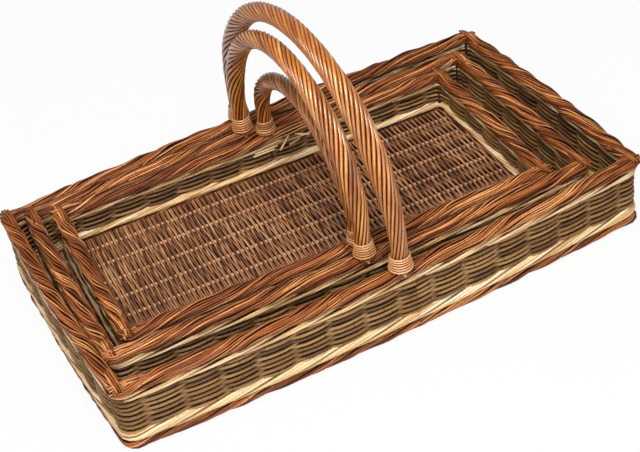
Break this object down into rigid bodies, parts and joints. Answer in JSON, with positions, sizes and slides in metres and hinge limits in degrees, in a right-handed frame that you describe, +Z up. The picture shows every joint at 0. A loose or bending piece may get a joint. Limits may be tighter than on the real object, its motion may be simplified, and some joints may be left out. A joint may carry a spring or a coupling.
{
  "type": "nested willow gift baskets",
  "caption": "Nested rectangular willow trugs with woven walls, plaited rims and fixed roped bow handles.",
  "frame": {"origin": "on the table under the middle of the large basket", "axes": "+X along the baskets' length, +Y to the back, +Z up"},
  "size_m": [0.6182, 0.3716, 0.2955],
  "materials": {
    "red_willow": "peeled or buff willow, satin",
    "cream_willow": "peeled or buff willow, satin",
    "olive_willow": "peeled or buff willow, satin",
    "floor_willow": "peeled or buff willow, satin",
    "handle_willow": "peeled or buff willow, satin",
    "tan_willow": "peeled or buff willow, satin",
    "pale_willow": "peeled or buff willow, satin"
  },
  "bodies": {
    "large_basket": {"large_foot_border": "red_willow", "large_bottom_wale": "cream_willow", "large_side_weave": "olive_willow", "large_top_wale": "cream_willow", "large_rim_border": "red_willow", "large_side_stakes": "olive_willow", "large_corner_posts": "olive_willow", "large_floor_sticks": "floor_willow", "large_floor_weave": "floor_willow", "large_handle_bow": "handle_willow", "large_handle_roping": "handle_willow", "large_front_whipping": "tan_willow", "large_back_whipping": "tan_willow", "large_handle_pegs": "pale_willow"},
    "middle_basket": {"middle_foot_border": "red_willow", "middle_bottom_wale": "cream_willow", "middle_side_weave": "olive_willow", "middle_top_wale": "cream_willow", "middle_rim_border": "red_willow", "middle_side_stakes": "olive_willow", "middle_corner_posts": "olive_willow", "middle_floor_sticks": "floor_willow", "middle_floor_weave": "floor_willow", "middle_handle_bow": "handle_willow", "middle_handle_roping": "handle_willow", "middle_front_whipping": "tan_willow", "middle_back_whipping": "tan_willow", "middle_handle_pegs": "pale_willow"},
    "small_basket": {"small_foot_border": "red_willow", "small_bottom_wale": "cream_willow", "small_side_weave": "olive_willow", "small_top_wale": "cream_willow", "small_rim_border": "red_willow", "small_side_stakes": "olive_willow", "small_corner_posts": "olive_willow", "small_floor_sticks": "floor_willow", "small_floor_weave": "floor_willow", "small_handle_bow": "handle_willow", "small_handle_roping": "handle_willow", "small_front_whipping": "tan_willow", "small_back_whipping": "tan_willow", "small_handle_pegs": "pale_willow"}
  },
  "joints": [
    {"name": "middle_tip", "type": "hinge", "parent": "large_basket", "child": "middle_basket", "pos_m": [-0.29077, 0.01088, 0.0905], "axis": [-0.041, -0.9992, 0], "range_deg": [0, 7]},
    {"name": "small_tip", "type": "hinge", "parent": "middle_basket", "child": "small_basket", "pos_m": [0.22493, -0.01166, 0.09], "axis": [0.0523, 0.9986, 0], "range_deg": [0, 7]}
  ]
}
